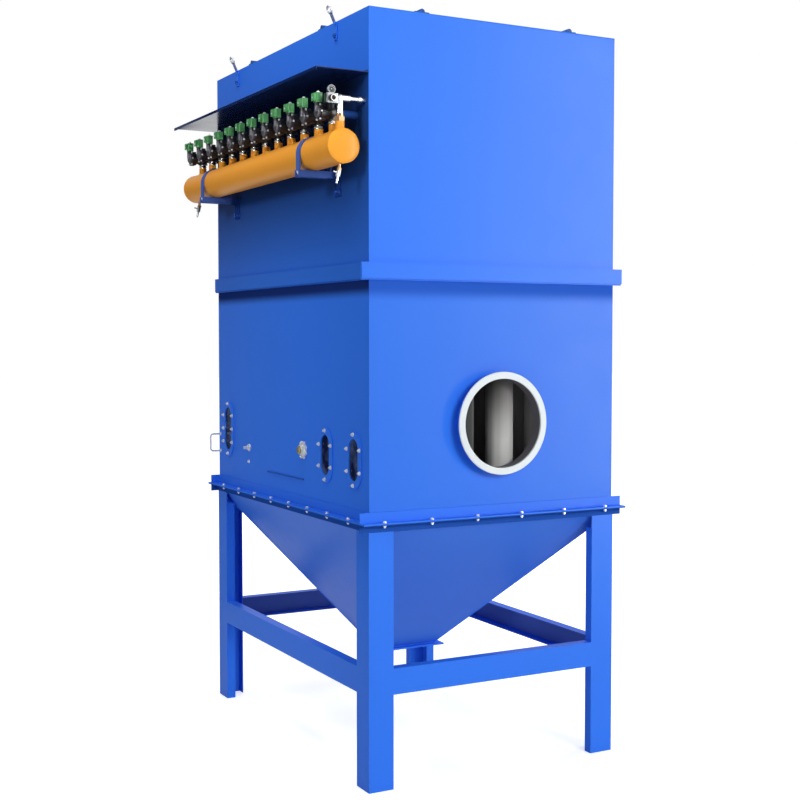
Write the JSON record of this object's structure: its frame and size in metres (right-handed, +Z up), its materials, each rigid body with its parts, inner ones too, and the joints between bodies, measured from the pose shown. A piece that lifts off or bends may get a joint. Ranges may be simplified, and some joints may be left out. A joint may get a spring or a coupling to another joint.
{
  "type": "baghouse dust collector",
  "caption": "Pulse-jet bag filter dust collector: bolted sheet-steel casing over a hopper on a braced leg frame, with a round side inlet, an air tank and pulse valves under a rain canopy.",
  "frame": {"origin": "centre of the overall footprint at floor level, under the feet", "axes": "+X across the inlet face, away from the valve face; +Y from the inlet face to the back; +Z up"},
  "size_m": [1.645, 2.024, 3.5771],
  "materials": {
    "blue_paint": "gloss",
    "dark_blue_paint": "satin",
    "orange_paint": "gloss",
    "white_paint": "satin",
    "steel": "satin",
    "black_casting": "satin",
    "green_plastic": "matte",
    "filter_cloth": "matte",
    "dark_pane": "gloss",
    "galvanised_sheet": "satin"
  },
  "bodies": {
    "root": {"leg_front_left": "blue_paint", "leg_front_right": "blue_paint", "leg_back_left": "blue_paint", "leg_back_right": "blue_paint", "beam_front": "blue_paint", "beam_back": "blue_paint", "beam_left": "blue_paint", "beam_right": "blue_paint", "hopper_front": "blue_paint", "hopper_back": "blue_paint", "hopper_left": "blue_paint", "hopper_right": "blue_paint", "discharge_flange": "blue_paint", "hopper_angles_ends": "blue_paint", "hopper_angles_sides": "blue_paint", "casing_angles_ends": "blue_paint", "casing_angles_sides": "blue_paint", "casing_front": "blue_paint", "casing_back": "blue_paint", "casing_left": "blue_paint", "casing_right": "blue_paint", "inlet_collar": "blue_paint", "inlet_flange": "white_paint", "hand_hole_panes": "dark_pane", "hand_hole_rings": "blue_paint", "wall_rail": "dark_blue_paint", "level_switch": "steel", "pressure_tap": "steel", "pull_handle": "steel", "joint_bands_ends": "blue_paint", "joint_bands_sides": "blue_paint", "plenum_front": "blue_paint", "plenum_back": "blue_paint", "plenum_left": "blue_paint", "plenum_right": "blue_paint", "tube_sheet": "galvanised_sheet", "filter_bags": "filter_cloth", "outlet_collar": "blue_paint", "roof_panel": "blue_paint", "roof_lugs": "dark_blue_paint", "lifting_eyes": "steel", "rain_canopy": "dark_blue_paint", "tank_shell": "orange_paint", "tank_ends": "orange_paint", "tank_clamps": "blue_paint", "valve_stubs": "orange_paint", "valve_unions": "steel", "valve_bodies": "black_casting", "valve_coils": "green_plastic", "blow_pipes": "blue_paint", "air_supply_pipe": "steel", "air_regulator": "steel", "drain_cocks": "steel"}
  },
  "joints": []
}
